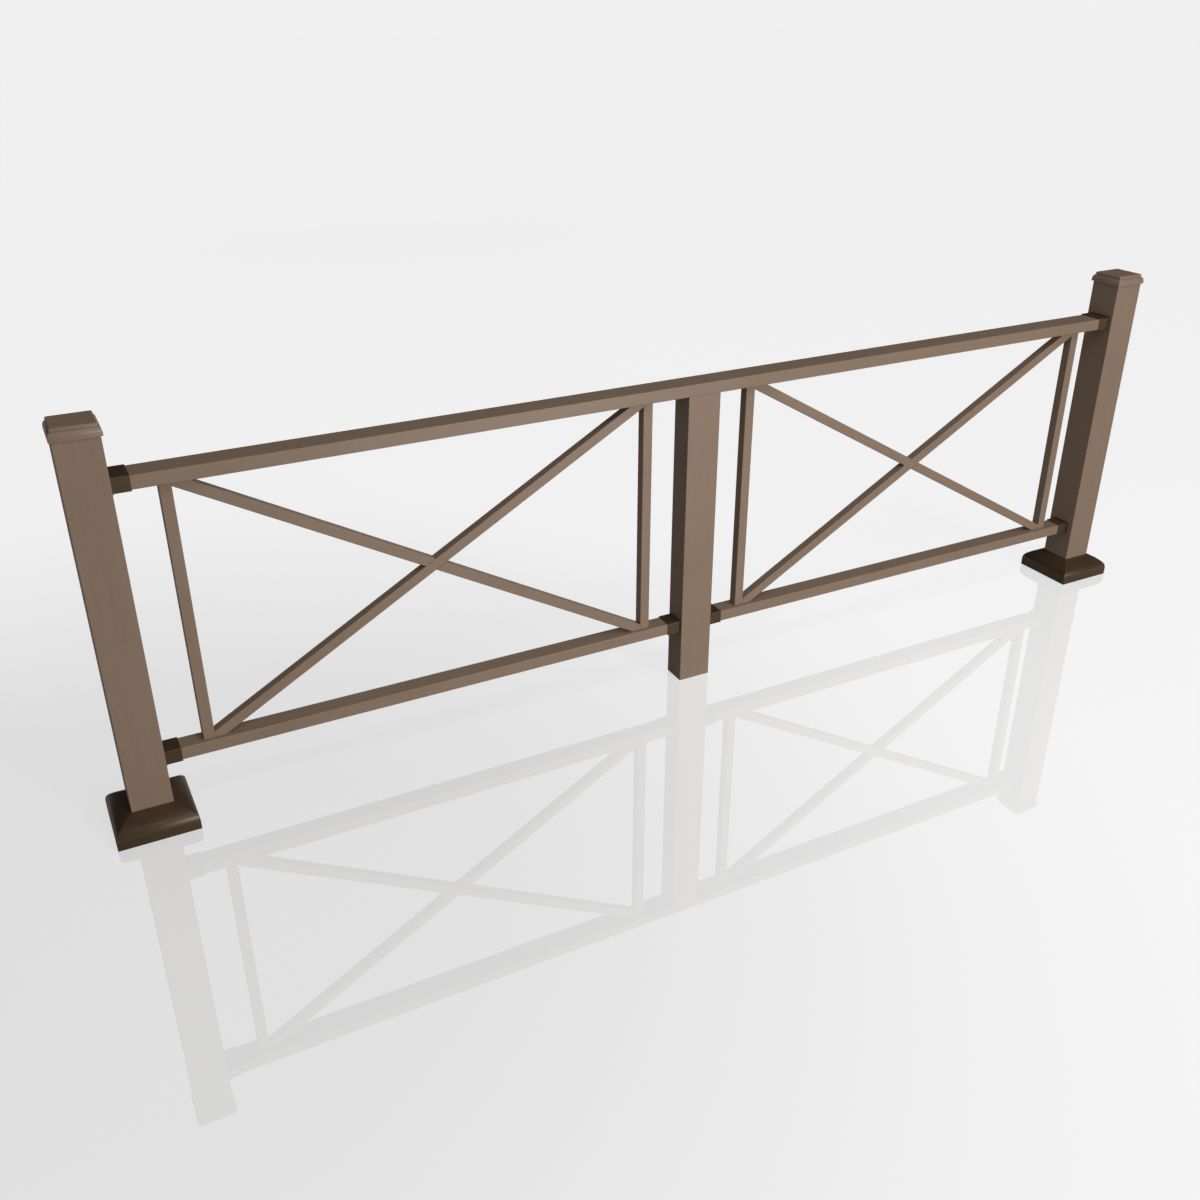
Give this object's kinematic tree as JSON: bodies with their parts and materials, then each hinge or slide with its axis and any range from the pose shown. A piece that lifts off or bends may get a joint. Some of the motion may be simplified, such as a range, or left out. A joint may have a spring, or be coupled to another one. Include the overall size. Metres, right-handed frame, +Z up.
{
  "type": "composite crossbuck railing",
  "caption": "Composite deck railing with square end posts, caps and skirts, a continuous top rail, bottom rails, square pickets and half-lapped X braces in each bay.",
  "frame": {"origin": "centre of the middle post's foot, on the floor, under its base plate", "axes": "+X along the railing to the right, +Y from the front to the back, +Z up"},
  "size_m": [3.89, 0.232, 1.2205],
  "materials": {
    "composite": "taupe-brown wood-plastic composite, matte, with a faint fine grain",
    "dark_trim": "dark bronze-brown moulding, satin",
    "steel_mount": "galvanised steel, dull"
  },
  "bodies": {
    "root": {"left_post": "composite", "mid_post": "composite", "right_post": "composite", "left_post_cap": "composite", "right_post_cap": "composite", "top_rail": "composite", "left_bottom_rail": "composite", "right_bottom_rail": "composite", "left_bay_outer_picket": "composite", "left_bay_inner_picket": "composite", "right_bay_inner_picket": "composite", "right_bay_outer_picket": "composite", "left_bay_rising_brace": "composite", "left_bay_falling_brace": "composite", "right_bay_rising_brace": "composite", "right_bay_falling_brace": "composite", "left_post_skirt": "dark_trim", "right_post_skirt": "dark_trim", "top_rail_left_bracket": "dark_trim", "top_rail_right_bracket": "dark_trim", "left_bay_outer_bracket": "dark_trim", "left_bay_inner_bracket": "dark_trim", "right_bay_inner_bracket": "dark_trim", "right_bay_outer_bracket": "dark_trim", "left_post_mount": "steel_mount", "mid_post_mount": "steel_mount", "right_post_mount": "steel_mount"}
  },
  "joints": []
}
